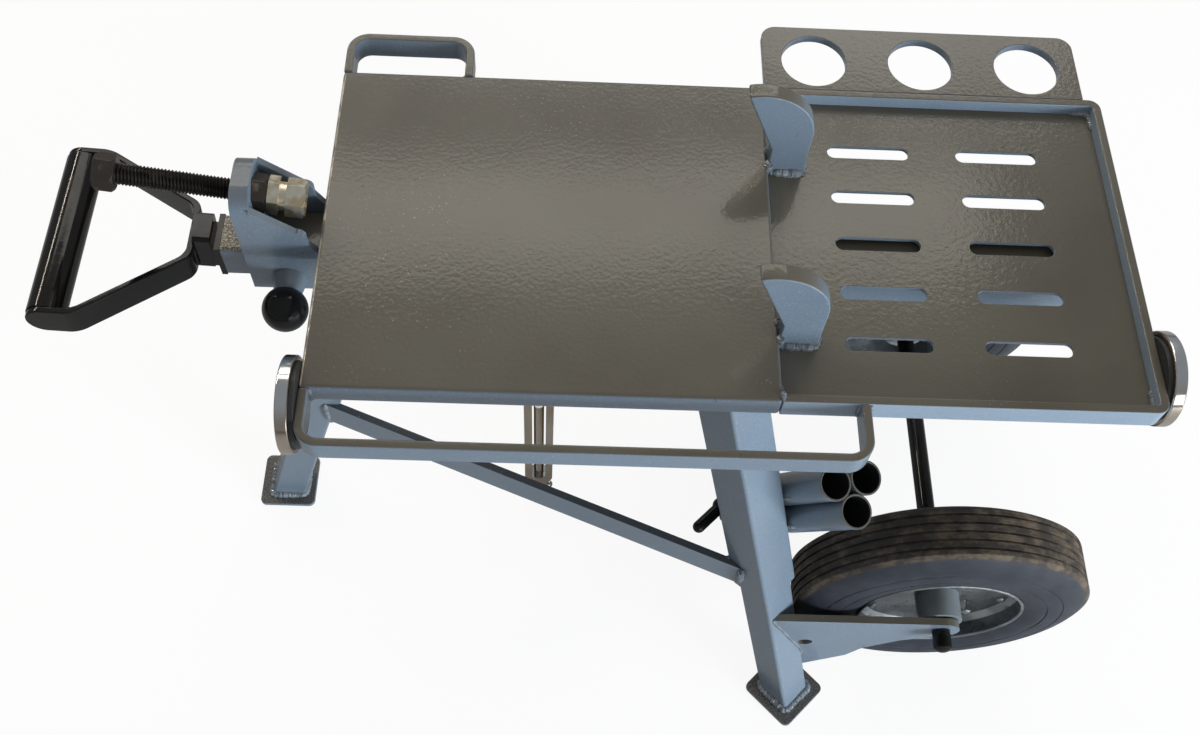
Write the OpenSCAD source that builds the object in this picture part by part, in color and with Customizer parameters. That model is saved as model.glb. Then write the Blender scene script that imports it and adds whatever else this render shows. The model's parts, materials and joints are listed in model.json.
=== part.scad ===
// Anvil stand on three telescoping legs, with a tool tray, two wheels and a pull-out handle.
// X runs from the handle to the wheels, Y from front to back, Z up from the ground.

/* [Anvil plate] */
// Height of the anvil plate's top above the ground
stand_h = 463; // [440:1:500]
// Length of the anvil plate, from the handle side to the tray
plate_l = 320; // [290:1:360]
// Width of the anvil plate, front to back
plate_w = 273; // [250:1:310]
// Thickness of the anvil plate
plate_t = 19; // [12:0.5:24]

/* [Tray] */
// Length of the tool tray beside the anvil plate
tray_l = 262; // [220:1:300]
// Depth of the tray's floor below the plate's top
tray_depth = 10; // [8:0.5:14]
// Thickness of the tray's floor
floor_t = 3; // [2:0.5:4]
// Thickness of the flat bar in the rim and the tool loops
bar_t = 6.4; // [5:0.1:8]
// Height of the flat bar in the rim and the tool loops
bar_h = 19; // [17:0.5:22]
// Width of a drain slot in the tray's floor
slot_w = 11; // [8:0.5:14]
// Length of a drain slot in the tray's floor
slot_l = 62; // [40:1:70]

/* [Tool holder] */
// Length of the drilled holder plate behind the tray
holder_l = 248; // [230:1:258]
// Depth of the holder plate, front to back
holder_w = 63.5; // [58:0.5:72]
// Diameter of each holder hole
hole_d = 50.8; // [36:0.2:52]
// Spacing of the holder holes
hole_pitch = 83.8; // [74:0.2:90]

/* [Tool loops] */
// Length of the long loop along the front
front_loop_l = 379; // [350:1:400]
// How far the front loop stands out
front_loop_out = 42.3; // [36:0.1:50]
// Length of the short loop at the back
rear_loop_l = 98; // [80:1:130]
// How far the rear loop stands out
rear_loop_out = 39.6; // [34:0.1:46]
// Outer radius of the loops' bends
loop_r = 17; // [12:0.5:20]

/* [Hold-down dogs] */
// Thickness of a dog
dog_t = 12.7; // [10:0.1:16]
// Height of a dog's tip above the plate
dog_h = 71; // [60:1:80]
// How far a dog's tip reaches over the plate
dog_reach = 24; // [18:0.5:30]
// Spacing of the two dogs
dog_spread = 150; // [120:1:180]
// Shift of the pair of dogs from the middle, towards the front
dog_shift = 6.5; // [0:0.5:20]

/* [Spine and handle] */
// Width of the square spine tube and of the leg sleeves
tube_w = 38.1; // [36:0.1:42]
// Wall of the square tubes
tube_wall = 2.9; // [2.5:0.1:3.2]
// Length of the spine beyond the plate, under the tray
spine_over = 240; // [200:1:255]
// Length of the handle's square tube
handle_tube_l = 455; // [430:1:480]
// Travel of the handle when it is pulled out
handle_travel = 300; // [200:1:310]
// Outer width of the handle's loop
handle_w = 144; // [130:1:160]
// Distance from the plate to the far end of the handle
handle_reach = 201; // [195:1:230]
// Diameter of the handle's grip
grip_d = 26.7; // [25:0.1:30]
// Upward tilt of the handle in degrees
handle_tilt = 4; // [0:0.5:6]

/* [Clamp] */
// Mean diameter of the clamp screw's thread
screw_d = 14; // [12:0.5:15]
// Downward tilt of the clamp screw in degrees
clamp_tilt = 10; // [8:0.5:12]
// Height of the clamp screw above the plate at its bracket
clamp_rise = 27.4; // [26.5:0.1:30]
// Diameter of the clamp pad
pad_d = 27.5; // [24:0.5:28]

/* [Legs] */
// Lean of the two right legs in degrees
leg_lean = 19.3; // [16:0.1:20]
// Lean of the left leg in degrees
left_lean = 16.2; // [12:0.1:18]
// Distance of the right legs' tops from the tray side of the plate
leg_inset_x = 35; // [30:0.5:45]
// Distance of the right legs' tops from the front and back of the plate
leg_inset_y = 45; // [40:0.5:55]
// Distance of the left leg's top from the handle side of the plate
left_leg_x = 18; // [15:0.5:40]
// Height of the sleeves' lower ends above the ground
sleeve_end_h = 180; // [165:1:200]
// Width of the inner leg tubes and of the handle tube
inner_w = 31.7; // [30:0.1:31.7]
// Travel of the legs when the stand is raised
leg_travel = 70; // [40:1:75]
// Width of the square foot plates
foot_w = 54; // [48:0.5:64]
// Thickness of the foot plates
foot_t = 5; // [4:0.5:8]

/* [Wheels] */
// Diameter of the wheels
wheel_d = 254; // [220:1:260]
// Width of the wheels' tread
wheel_w = 44.3; // [38:0.1:48]
// Gap under the wheels when the stand rests on its feet
wheel_gap = 9.7; // [6:0.1:20]
// Gap between the wheels and the middle lines of the right legs, at the axle's height
wheel_out = 22.6; // [22:0.1:40]
// Diameter of the axle
axle_d = 15.9; // [14:0.1:18]
// Thickness of the wheel arms
arm_t = 6.4; // [5:0.1:8]

/* [Punch holders] */
// Outer diameter of the punch tubes
punch_d = 26.7; // [25:0.1:30]
// Wall of the punch tubes
punch_wall = 1.6; // [1.2:0.1:2.4]
// Length of the punch tubes
punch_l = 100; // [80:1:120]
// Lean of the punch tubes from upright in degrees
punch_lean = 27; // [20:0.5:32]

/* [Magnets] */
// Diameter of the magnets' chromed cups
magnet_d = 67; // [55:0.5:72]
// Thickness of a magnet's cup
cup_t = 8.6; // [8:0.1:12]

/* [Hidden] */
$fn = 48;

// Colours
paint = [0.45, 0.49, 0.51];
black_gloss = [0.06, 0.06, 0.07];
zinc = [0.72, 0.68, 0.55];
chrome = [0.78, 0.79, 0.80];
rubber = [0.17, 0.17, 0.18];
hub_grey = [0.33, 0.36, 0.36];

// Clearances: one overrun for every cut, one gap between sliding tubes, one running fit
over = 1;
gap = 0.3;
running_fit = 0.05;
// How far the plan of the right legs is turned from the stand's length, in degrees
plan_angle = 45;
// Corner radius of the square tubes, outside and inside
tube_r = 3;
tube_in_r = 1;

// Heights of the plate's underside and of the spine's middle and underside
under_h = stand_h - plate_t;
spine_mid_h = under_h - tube_w / 2;
spine_low_h = under_h - tube_w;
front_y = -plate_w / 2;
tray_end = plate_l + tray_l;

// Legs: top centre, direction of the lean in plan, lean, side of the lock screw, turn of its bar
leg_top_x = plate_l - leg_inset_x;
leg_top_y = plate_w / 2 - leg_inset_y;
left_leg = [left_leg_x, 0, spine_low_h, 180, left_lean, 90, 90];
front_leg = [leg_top_x, -leg_top_y, under_h, -plan_angle, leg_lean, 0, 0];
rear_leg = [leg_top_x, leg_top_y, under_h, plan_angle, leg_lean, 0, 0];
// Length along a leg's axis between two heights, and the axis point at a height
function leg_run(leg, h) = (leg[2] - h) / cos(leg[4]);
function leg_side(leg, h) = tan(leg[4]) * (leg[2] - h);
function leg_point(leg, h) =
    [leg[0] + leg_side(leg, h) * cos(leg[3]), leg[1] + leg_side(leg, h) * sin(leg[3]), h];
// Length of the inner leg inside its sleeve when the stand is fully raised, and at rest
leg_grip = 80;
leg_hold = leg_grip + leg_travel;

// Lock screws of the legs: height above the sleeve's end, sizes
lock_rise = 72;
lock_d = 9.5;
boss_d = 20;
boss_h = 12;
lock_bar_d = 10;
lock_bar_l = 54;
lock_out = 7;

// Braces: flat bars on edge, level with the sleeves' lower ends and outside the legs' axes
brace_t = 6.4;
brace_w = 31.7;
brace_set = 10;
brace_low_h = sleeve_end_h;

// Tool holder
holder_r = 12;
holder_t = 6.4;
holder_in = 1.5;
hole_set = 29;

// Tray floor: drain slots in two columns and five rows, rim corner
rim_r = 9;
slot_cols = 2;
slot_rows = 5;
slot_gap_x = 98;
slot_gap_y = 42;

// Dogs: width of the foot on the tray, height of the straight back and of the undercut's foot
dog_foot = 28;
dog_back_h = 32;
dog_heel_h = 16;
// The front of the dog is a circle through its tip that meets the straight back squarely
dog_dx = dog_foot + dog_reach;
dog_dz = dog_h - dog_back_h;
dog_r = (dog_dx * dog_dx + dog_dz * dog_dz) / (2 * dog_dx);

// Clamp bracket: outer face, thickness of its plate and gussets, height and slope
bracket_out = 55;
bracket_t = 12.7;
bracket_h = 44;
bracket_r = 16;
gusset_t = 4.8;
gusset_top = 35.5;
gusset_toe = 14;
gusset_toe_h = 12;
gusset_toe_r = 6;
bracket_w = tube_w + 2 * gusset_t;
bracket_mid_x = -bracket_out + bracket_t / 2;
spine_l = bracket_out - bracket_t + plate_l + spine_over;
// Square window for the handle tube
window_w = inner_w + 2 * gap;

// Clamp screw, along its own axis from the bracket's middle
screw_hole_d = screw_d + 8 * gap;
head_af = 23;
head_h = 14;
head_at = -98.9;
nut_af = 24;
nut_end = 15.1;
pad_start = nut_end + gap;
pad_hex_l = 7.5;
pad_groove_l = 5;
pad_groove_d = 20;
pad_l = 26;
pad_bevel = 2;
nose_d = 10;
nose_gap = 3;
lock_ring_d = 13;
lock_ring_t = 2;

// Spring plunger on the spine's front face, below its middle
plunger_out = 27;
plunger_low = 6;
plunger_h = spine_mid_h - plunger_low;
housing_d = 26;
housing_tip_d = 19;
housing_l = 14;
housing_base = tube_w / 2 + gusset_t;
plunger_pin_d = 8;
plunger_slot = 9;
plunger_stem_d = 6;
plunger_collar_d = 12;
plunger_collar_t = 2;
spring_d = 11.6;
spring_wire = 1.2;
spring_turns = 6;
knob_d = 33;
knob_out = 50.3;
cap_t = 3;
knob_face = housing_base + housing_l + gap;

// Handle: flat bar, neck and block
flat_t = 4.8;
flat_h = 25.4;
handle_end = 75;
handle_cap_t = 4;
neck_l = 8;
neck_w = 25;
neck_h = 20;
block_t = 12;
block_w = 25.4;
block_h = 35;
block_up = 4;
handle_mid_w = 45;
handle_straight = 33;
// The loop is welded a little out of line: its middle to the back, its arms to the front
handle_mid_y = 2.5;
handle_arm_y = -3.3;
yoke_x = handle_end + neck_l + block_t + flat_t / 2;
grip_x = -(handle_reach - handle_end - grip_d / 2) / cos(handle_tilt);

// Wheel arm, measured from the axle
axle_h = wheel_d / 2 + wheel_gap;
axle_x = leg_point(front_leg, axle_h)[0] + wheel_d / 2 + wheel_out;
arm_join_h = 81;
arm_r = 16;
arm_bend_x = 28.5;
arm_bend_h = 29.7;
arm_step_x = 57;
arm_step_h = 54.7;
arm_knee_x = 67.8;
arm_knee_h = 77.5;
arm_heel_x = 101.5;
arm_heel_h = 106.3;
arm_hole_d = 13.5;
arm_hole_x = 112;
arm_hole_h = 41;
arm_y = leg_point(rear_leg, arm_join_h)[1];
// Axle, clips and the wheels' place along the axle
clip_t = 1;
clip_d = 25;
hub_proud = 12;
hub_in = 6;
hub_d = 38;
hub_wall = 4;
arm_gap = clip_t + 2 * gap;
hub_end_y = arm_y - arm_t / 2 - arm_gap;
wheel_y = hub_end_y - hub_proud;
hub_l = hub_proud + wheel_w + hub_in;
axle_proud = 19;
axle_l = arm_y + arm_t / 2 + axle_proud;
dome_r = 12;
bearing_w = 9;
bearing_set = 1.5;
// Tyre: seat on the rim, shoulders, grooves, bulging sidewalls and the rings on them
seat_r = 72;
shoulder_r = 3;
groove_n = 5;
groove_w = 2.2;
groove_depth = 1.8;
wall_bulge = 8.7;
wall_arc_r = 54.2;
wall_mid_in = 33;
wall_mid_r = wheel_d / 2 - wall_mid_in;
wall_back = wall_arc_r - wheel_w / 2 - wall_bulge;
// Half the tyre's width at a radius
function wall_half(x) = sqrt(pow(wall_arc_r, 2) - pow(x - wall_mid_r, 2)) - wall_back;
crown_half = wall_half(wheel_d / 2 - shoulder_r);
ring_inner_r = 90.5;
ring_outer_r = 103.5;
ring_depth = 0.6;
ring_w = 1.2;
// Rim: thickness of the sheet, rolled lip, disc set in from the tread's side, bolts and valve
rim_sheet = 2.2;
rim_lip_r = 1.6;
rim_fillet = 5;
disc_in = 13;
disc_y = wheel_w / 2 - disc_in;
bolt_n = 5;
bolt_d = 9;
bolt_h = 3;
bolt_dome_r = 6;
bolt_circle_r = 60;
bolt_angle = -6;
valve_d = 9.5;
valve_l = 11;
valve_r = 35;
valve_angle = -30;

// Punch tubes: heights of the mouths below the plate and their place out from the leg's top
punch_mouth_low = 120.4;
punch_mouth_out = 101;
punch_side = tube_w / 2 + punch_d / 2;
punch_pitch = punch_d + gap;
nest_share = 0.87;
punch_nest = nest_share * punch_pitch;

// Magnets: ring seen between the cup and the steel, places
ring_d = 59;
ring_hole = 24;
ring_show = 3;
ring_in = 5;
left_magnet_in = -3;
right_magnet_in = 38;
magnet_low = 20;

// Turnbuckle under the spine
buckle_x = 153.5;
tab_t = 6;
tab_w = 26;
tab_drop = 27;
pin_d = 8;
eye_d = 26;
eye_t = 10.5;
rod_d = 9.5;
buckle_top = 146;
buckle_l = 222;
buckle_w = 27;
buckle_t = 11;
buckle_bar = 7;
boss_l = 20;
buckle_boss_d = 17;
buckle_taper = 14;
// The eye's rod turns freely between two collars, the hook's rod is threaded
collar_t = 4;
collar_d = buckle_w - 2 * buckle_bar - 2 * gap;
eye_rod_in = boss_l + gap + collar_t;
hook_rod_low = 58;
hook_turn_r = 5;
hook_rod_d = 6;
hook_ball_d = 8;
hook_drop = 12;

// The origin is the middle of the whole stand in plan, on the ground
shift_x = (handle_reach - axle_x - wheel_d / 2) / 2;
module place() {
    translate([shift_x, 0, 0]) children();
}

// A square with rounded corners, centred
module round_square(w, r) {
    round_rect(w, w, r);
}

// A rectangle with rounded corners, centred
module round_rect(w, d, r) {
    square([w - 2 * r, d], center = true);
    square([w, d - 2 * r], center = true);
    for (x = [-1, 1], y = [-1, 1])
        translate([x * (w / 2 - r), y * (d / 2 - r)]) circle(r);
}

// A slot with round ends along X, centred
module obround(l, w) {
    square([l - w, w], center = true);
    for (x = [-1, 1]) translate([x * (l - w) / 2, 0]) circle(w / 2);
}

// A square tube that stands on the origin
module square_tube(w, wall, l) {
    linear_extrude(l) difference() {
        round_square(w, tube_r);
        round_square(w - 2 * wall, tube_in_r);
    }
}

// A round tube that stands on the origin
module round_tube(d, bore, l) {
    difference() {
        cylinder(d = d, h = l);
        translate([0, 0, -over]) cylinder(d = bore, h = l + 2 * over);
    }
}

// A hexagonal prism with a given width across its flats
module hex_prism(af, h) {
    cylinder(d = af / cos(30), h = h, $fn = 6);
}

// A round pin that stands on the origin, with a domed end
module dome_pin(d, l, r) {
    dome = r - sqrt(r * r - d * d / 4);
    rotate_extrude() intersection() {
        union() {
            square([d, l - dome]);
            translate([0, l - r]) circle(r);
        }
        square([d / 2, l]);
    }
}

// Frames of reference: a leg's axis, the clamp screw's axis, the wheel's axis
module at_leg(leg) {
    translate([leg[0], leg[1], leg[2]]) rotate([0, 0, leg[3]]) rotate([0, -leg[4], 0]) children();
}
module at_clamp() {
    translate([bracket_mid_x, 0, stand_h + clamp_rise]) rotate([0, 90 + clamp_tilt, 0]) children();
}
module at_handle() {
    translate([-handle_end, 0, spine_mid_h]) rotate([0, handle_tilt, 0]) children();
}
// The local Z runs out along a leg's lock screw, the local X up along the leg
module at_lock(leg) {
    at_leg(leg) translate([0, 0, lock_rise - leg_run(leg, sleeve_end_h)])
        rotate([0, 0, leg[5]]) rotate([0, -90, 0]) children();
}
// Side is -1 for the front wheel and 1 for the rear one; the local Z runs outwards
module at_wheel(side, y) {
    translate([axle_x, side * y, axle_h]) rotate([-side * 90, 0, 0]) children();
}

// The anvil plate
module top_plate() {
    color(paint) place() translate([0, front_y, under_h]) cube([plate_l, plate_w, plate_t]);
}

// The tray's floor with its drain slots
module tray_floor() {
    color(paint) place()
        translate([plate_l + (tray_l - bar_t) / 2, 0, stand_h - tray_depth - floor_t])
            linear_extrude(floor_t) difference() {
                square([tray_l - bar_t, plate_w - 2 * bar_t], center = true);
                for (i = [0 : slot_cols - 1], j = [0 : slot_rows - 1])
                    translate([
                        (i - (slot_cols - 1) / 2) * slot_gap_x,
                        (j - (slot_rows - 1) / 2) * slot_gap_y
                    ]) obround(slot_l, slot_w);
            }
}

// The bent flat bar round three sides of the tray
module tray_rim() {
    color(paint) place() translate([plate_l, 0, stand_h - bar_h]) linear_extrude(bar_h)
        intersection() {
            difference() {
                round_rect(2 * tray_l, plate_w, rim_r);
                round_rect(2 * (tray_l - bar_t), plate_w - 2 * bar_t, rim_r - bar_t);
            }
            translate([0, front_y - over]) square([tray_l + over, plate_w + 2 * over]);
        }
}

// The plate behind the tray with three holes for hammer handles
module holder_plate() {
    color(paint) place()
        translate([plate_l + holder_in + holder_l / 2, plate_w / 2, stand_h - holder_t])
            linear_extrude(holder_t) difference() {
                intersection() {
                    round_rect(holder_l, 2 * holder_w, holder_r);
                    translate([-holder_l / 2, 0]) square([holder_l, holder_w]);
                }
                for (i = [-1 : 1]) translate([i * hole_pitch, hole_set]) circle(d = hole_d);
            }
}

// A loop of flat bar that stands out of the plate's side
module tool_loop(l, out) {
    translate([l / 2, 0, stand_h - bar_h]) linear_extrude(bar_h) intersection() {
        difference() {
            round_rect(l, 2 * out, loop_r);
            round_rect(l - 2 * bar_t, 2 * (out - bar_t), loop_r - bar_t);
        }
        translate([-l / 2, 0]) square([l, out]);
    }
}
module front_loop() {
    color(paint) place() mirror([0, 1, 0]) translate([0, plate_w / 2, 0])
        tool_loop(front_loop_l, front_loop_out);
}
module rear_loop() {
    color(paint) place() translate([0, plate_w / 2, 0]) tool_loop(rear_loop_l, rear_loop_out);
}

// A hook that stands on the tray against the plate and reaches over the anvil's foot
module dog(y) {
    color(paint) place() translate([plate_l, y + dog_t / 2, stand_h]) rotate([90, 0, 0])
        linear_extrude(dog_t) {
            translate([0, -tray_depth]) square([dog_foot, tray_depth + dog_back_h]);
            intersection() {
                translate([dog_foot - dog_r, dog_back_h]) circle(dog_r, $fn = 96);
                polygon([
                    [0, dog_heel_h], [dog_foot, dog_heel_h], [dog_foot, dog_h + dog_r],
                    [-dog_reach, dog_h + dog_r], [-dog_reach, dog_h]
                ]);
            }
        }
}
module front_dog() {
    dog(-dog_shift - dog_spread / 2);
}
module rear_dog() {
    dog(-dog_shift + dog_spread / 2);
}

// The square tube under the plate that the handle slides in
module spine_tube() {
    color(paint) place() difference() {
        translate([-bracket_out + bracket_t, 0, spine_mid_h]) rotate([0, 90, 0])
            square_tube(tube_w, tube_wall, spine_l);
        at_plunger() cylinder(d = plunger_pin_d + 2 * gap, h = tube_w);
    }
}

// The clamp's bracket: an end plate round the handle tube and two gussets along the spine
module clamp_bracket() {
    plate_h = stand_h + bracket_h - spine_low_h;
    color(paint) place() difference() {
        union() {
            intersection() {
                translate([-bracket_out, 0, spine_low_h]) rotate([90, 0, 90])
                    linear_extrude(bracket_t) round_rect(bracket_w, 2 * plate_h, bracket_r);
                translate([-bracket_out, -bracket_w / 2, spine_low_h])
                    cube([bracket_t, bracket_w, plate_h]);
            }
            for (y = [gusset_t - bracket_w / 2, bracket_w / 2]) gusset(y);
        }
        translate([-bracket_out - over, -window_w / 2, spine_mid_h - window_w / 2])
            cube([bracket_t + 2 * over, window_w, window_w]);
        at_clamp() translate([0, 0, -bracket_t])
            cylinder(d = screw_hole_d, h = 2 * bracket_t);
        at_plunger() cylinder(d = plunger_collar_d + 2 * gap, h = bracket_w);
    }
}
module gusset(y) {
    foot_x = bracket_out - bracket_t - gap;
    toe_x = bracket_out - bracket_t - gusset_toe;
    toe_low = stand_h + gusset_toe_h - gusset_toe_r;
    translate([-bracket_out + bracket_t, y, 0]) rotate([90, 0, 0]) linear_extrude(gusset_t) {
        polygon([
            [0, spine_low_h], [0, stand_h + gusset_top], [toe_x, stand_h + gusset_toe_h],
            [toe_x + gusset_toe_r, toe_low], [toe_x + gusset_toe_r, stand_h],
            [foot_x, stand_h - gusset_toe], [foot_x, spine_low_h]
        ]);
        translate([toe_x, toe_low]) circle(gusset_toe_r);
    }
}

// The nut welded to the bracket's inner face
module clamp_nut() {
    color(black_gloss) place() difference() {
        at_clamp() hex_prism(nut_af, nut_end);
        at_clamp() translate([0, 0, -over])
            cylinder(d = screw_d + 2 * running_fit, h = nut_end + 2 * over);
        translate([-bracket_out, -nut_af, stand_h]) cube([bracket_t, 2 * nut_af, 2 * nut_af]);
    }
}

// The clamp screw: head, threaded rod and the nose that turns in the pad
module clamp_screw() {
    color(black_gloss) place() at_clamp() {
        translate([0, 0, head_at]) hex_prism(head_af, head_h);
        translate([0, 0, head_at]) cylinder(d = screw_d, h = pad_start - gap - head_at);
        translate([0, 0, head_at]) cylinder(d = nose_d, h = pad_start + pad_l - nose_gap - head_at);
        translate([0, 0, pad_start + pad_l - nose_gap - lock_ring_t])
            cylinder(d = lock_ring_d, h = lock_ring_t);
    }
}

// The swivel pad, cut from one hexagonal bar with a turned groove and a bevelled face
module clamp_pad() {
    barrel_l = pad_l - pad_hex_l - pad_groove_l;
    color(zinc) place() at_clamp() translate([0, 0, pad_start]) difference() {
        union() {
            hex_prism(pad_d * cos(30), pad_hex_l);
            cylinder(d = pad_groove_d, h = pad_l - pad_bevel);
            intersection() {
                translate([0, 0, pad_hex_l + pad_groove_l]) hex_prism(pad_d * cos(30), barrel_l);
                union() {
                    cylinder(d = pad_d, h = pad_l - pad_bevel);
                    translate([0, 0, pad_l - pad_bevel])
                        cylinder(d1 = pad_d, d2 = pad_d - 2 * pad_bevel, h = pad_bevel);
                }
            }
        }
        translate([0, 0, -over]) cylinder(d = nose_d + 2 * running_fit, h = pad_l);
        translate([0, 0, pad_l - nose_gap - lock_ring_t - gap])
            cylinder(d = lock_ring_d + 2 * gap, h = nose_gap + lock_ring_t + over);
    }
}

// The spring plunger that holds the handle tube; its local Z runs out to the front
module at_plunger() {
    translate([-plunger_out, 0, plunger_h]) rotate([90, 0, 0]) children();
}
module plunger_housing() {
    color(paint) place() at_plunger() translate([0, 0, housing_base]) difference() {
        cylinder(d1 = housing_d, d2 = housing_tip_d, h = housing_l);
        translate([0, 0, -over])
            cylinder(d = plunger_collar_d + 2 * gap, h = housing_l - cap_t + over);
        cylinder(d = plunger_stem_d + 2 * running_fit, h = housing_l + over);
    }
}
module plunger_pin() {
    color(zinc) place() at_plunger() {
        nose_in = tube_w / 2 - 2 * tube_wall;
        translate([0, 0, nose_in])
            cylinder(d = plunger_pin_d, h = tube_w / 2 + plunger_collar_t - nose_in);
        translate([0, 0, tube_w / 2 + gap])
            cylinder(d = plunger_collar_d, h = plunger_collar_t);
        translate([0, 0, nose_in]) cylinder(d = plunger_stem_d, h = knob_out - nose_in);
    }
}
// The plunger's spring, one unbroken coil with its least gap far over half a millimetre
spring_l = gusset_t + housing_l - cap_t - plunger_collar_t - 3 * gap;
spring_steps = 8;
spring_sides = 6;
spring_rings = spring_turns * spring_steps;
function spring_ring(i) = let (
    turn = 360 * i / spring_steps,
    rise = spring_wire / 2 + (spring_l - spring_wire) * i / spring_rings,
    mid_r = (spring_d - spring_wire) / 2
) [
    for (k = [0 : spring_sides - 1]) let (
        a = 360 * k / spring_sides,
        r = mid_r + spring_wire / 2 * cos(a)
    ) [r * cos(turn), r * sin(turn), rise + spring_wire / 2 * sin(a)]
];
module plunger_spring() {
    points = [for (i = [0 : spring_rings]) each spring_ring(i)];
    last = spring_rings * spring_sides;
    sides = [
        for (i = [0 : spring_rings - 1], k = [0 : spring_sides - 1]) let (
            a = i * spring_sides + k,
            b = i * spring_sides + (k + 1) % spring_sides
        ) each [
            [a, a + spring_sides, b + spring_sides],
            [a, b + spring_sides, b]
        ]
    ];
    start = [for (k = [1 : spring_sides - 2]) [0, k, k + 1]];
    end = [for (k = [1 : spring_sides - 2]) [last, last + k + 1, last + k]];
    color(zinc) place() at_plunger()
        translate([0, 0, tube_w / 2 + plunger_collar_t + 2 * gap])
            polyhedron(points, concat(start, end, sides));
}
module plunger_knob() {
    color(black_gloss) place() at_plunger() difference() {
        intersection() {
            translate([0, 0, knob_out]) sphere(d = knob_d, $fn = 64);
            translate([0, 0, knob_face]) cylinder(d = knob_d, h = knob_d);
        }
        cylinder(d = plunger_stem_d, h = knob_out);
    }
}

// The handle's square tube with the slot that the plunger runs in
module handle_tube() {
    color(paint) place() difference() {
        translate([-handle_end, 0, spine_mid_h]) rotate([0, 90, 0])
            square_tube(inner_w, tube_wall, handle_tube_l);
        translate([-plunger_out + handle_travel / 2, 0, plunger_h]) rotate([90, 0, 0])
            linear_extrude(tube_w) obround(handle_travel + plunger_slot, plunger_slot);
    }
}

// The neck and block welded to the end of the handle tube
module handle_neck() {
    color(black_gloss) place() {
        translate([-handle_end - handle_cap_t, -inner_w / 2, spine_mid_h - inner_w / 2])
            cube([handle_cap_t, inner_w, inner_w]);
        at_handle() {
            translate([-neck_l, -neck_w / 2, -neck_h / 2]) cube([neck_l, neck_w, neck_h]);
            translate([-neck_l, 0, block_up]) rotate([0, -90, 0])
                linear_extrude(block_t) round_rect(block_h, block_w, tube_r);
        }
    }
}

// The side normal of the line from a to b, and where the sides of two lines meet at b
function side_of(a, b) = let (run = b - a) [-run[1], run[0]] / norm(run);
function corner_of(a, b, c) =
    let (m = side_of(a, b), n = side_of(b, c)) (m + n) / (1 + m * n);

// The handle's loop of bent flat bar, with round ends beside the grip
module handle_frame() {
    side_y = handle_w / 2 - flat_t / 2;
    yoke = -(yoke_x - handle_end);
    bend = -(handle_reach - handle_end - handle_straight);
    low_y = handle_arm_y - side_y;
    high_y = handle_arm_y + side_y;
    path = [
        [grip_x - flat_h, low_y], [bend, low_y], [yoke, handle_mid_y - handle_mid_w / 2],
        [yoke, handle_mid_y + handle_mid_w / 2], [bend, high_y], [grip_x - flat_h, high_y]
    ];
    last = len(path) - 1;
    out = [
        side_of(path[0], path[1]),
        for (i = [1 : last - 1]) corner_of(path[i - 1], path[i], path[i + 1]),
        side_of(path[last - 1], path[last])
    ];
    color(black_gloss) place() at_handle() intersection() {
        translate([0, 0, -flat_h]) linear_extrude(2 * flat_h) polygon([
            for (i = [0 : last]) path[i] + out[i] * flat_t / 2,
            for (i = [last : -1 : 0]) path[i] - out[i] * flat_t / 2
        ]);
        translate([0, handle_w, 0]) rotate([90, 0, 0]) linear_extrude(2 * handle_w) {
            translate([grip_x, 0]) circle(d = flat_h);
            translate([grip_x, -flat_h / 2]) square([-grip_x, flat_h]);
        }
    }
}
module handle_grip() {
    grip_l = handle_w - 2 * flat_t;
    color(black_gloss) place() at_handle()
        translate([grip_x, handle_arm_y + grip_l / 2, 0]) rotate([90, 0, 0])
            round_tube(grip_d, grip_d - 2 * tube_wall, grip_l);
}

// A leg's outer sleeve, cut off flat where it meets the spine or the plate
module leg_sleeve(leg) {
    l = leg_run(leg, sleeve_end_h);
    color(paint) place() difference() {
        at_leg(leg) translate([0, 0, -l]) square_tube(tube_w, tube_wall, l + tube_w);
        translate([leg[0] - 2 * tube_w, leg[1] - 2 * tube_w, leg[2]])
            cube([4 * tube_w, 4 * tube_w, 2 * tube_w]);
        at_lock(leg) cylinder(d = lock_d + 2 * gap, h = tube_w);
    }
}

// The space that a leg's tube of width w fills, down to the ground
module leg_core(leg, w) {
    l = leg_run(leg, 0);
    at_leg(leg) translate([0, 0, -l]) linear_extrude(l) round_square(w, tube_r);
}

// A leg's inner tube, cut off flat on its foot plate
module leg_inner(leg) {
    l = leg_run(leg, 0);
    top = leg_run(leg, sleeve_end_h) - leg_hold;
    foot = leg_point(leg, 0);
    color(paint) place() difference() {
        at_leg(leg) translate([0, 0, -l - inner_w])
            square_tube(inner_w, tube_wall, l + inner_w - top);
        translate([foot[0] - 2 * inner_w, foot[1] - 2 * inner_w, foot_t - 2 * inner_w])
            cube([4 * inner_w, 4 * inner_w, 2 * inner_w]);
    }
}

// A leg's square foot plate
module foot(leg) {
    centre = leg_point(leg, foot_t / 2);
    color(paint) place() translate([centre[0], centre[1], 0]) rotate([0, 0, leg[3]])
        linear_extrude(foot_t) round_square(foot_w, 2 * tube_r);
}

// A leg's lock screw with its cross bar
module leg_screw(leg) {
    tip = inner_w / 2 + gap;
    bar_z = tube_w / 2 + boss_h + lock_out;
    color(black_gloss) place() at_lock(leg) {
        translate([0, 0, tip]) cylinder(d = lock_d, h = bar_z - tip);
        translate([0, 0, bar_z]) {
            sphere(d = lock_d + lock_bar_d / 2);
            rotate([0, 0, leg[6]]) {
                translate([0, lock_bar_l / 2, 0]) rotate([90, 0, 0])
                    cylinder(d = lock_bar_d, h = lock_bar_l);
                for (side = [-1, 1]) translate([0, side * lock_bar_l / 2, 0])
                    sphere(d = lock_bar_d);
            }
        }
    }
}

// The threaded bosses welded to the sleeves for the lock screws
module screw_bosses() {
    color(paint) place() for (leg = [left_leg, front_leg, rear_leg])
        at_lock(leg) translate([0, 0, tube_w / 2])
            round_tube(boss_d, lock_d + 2 * running_fit, boss_h);
}

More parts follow.
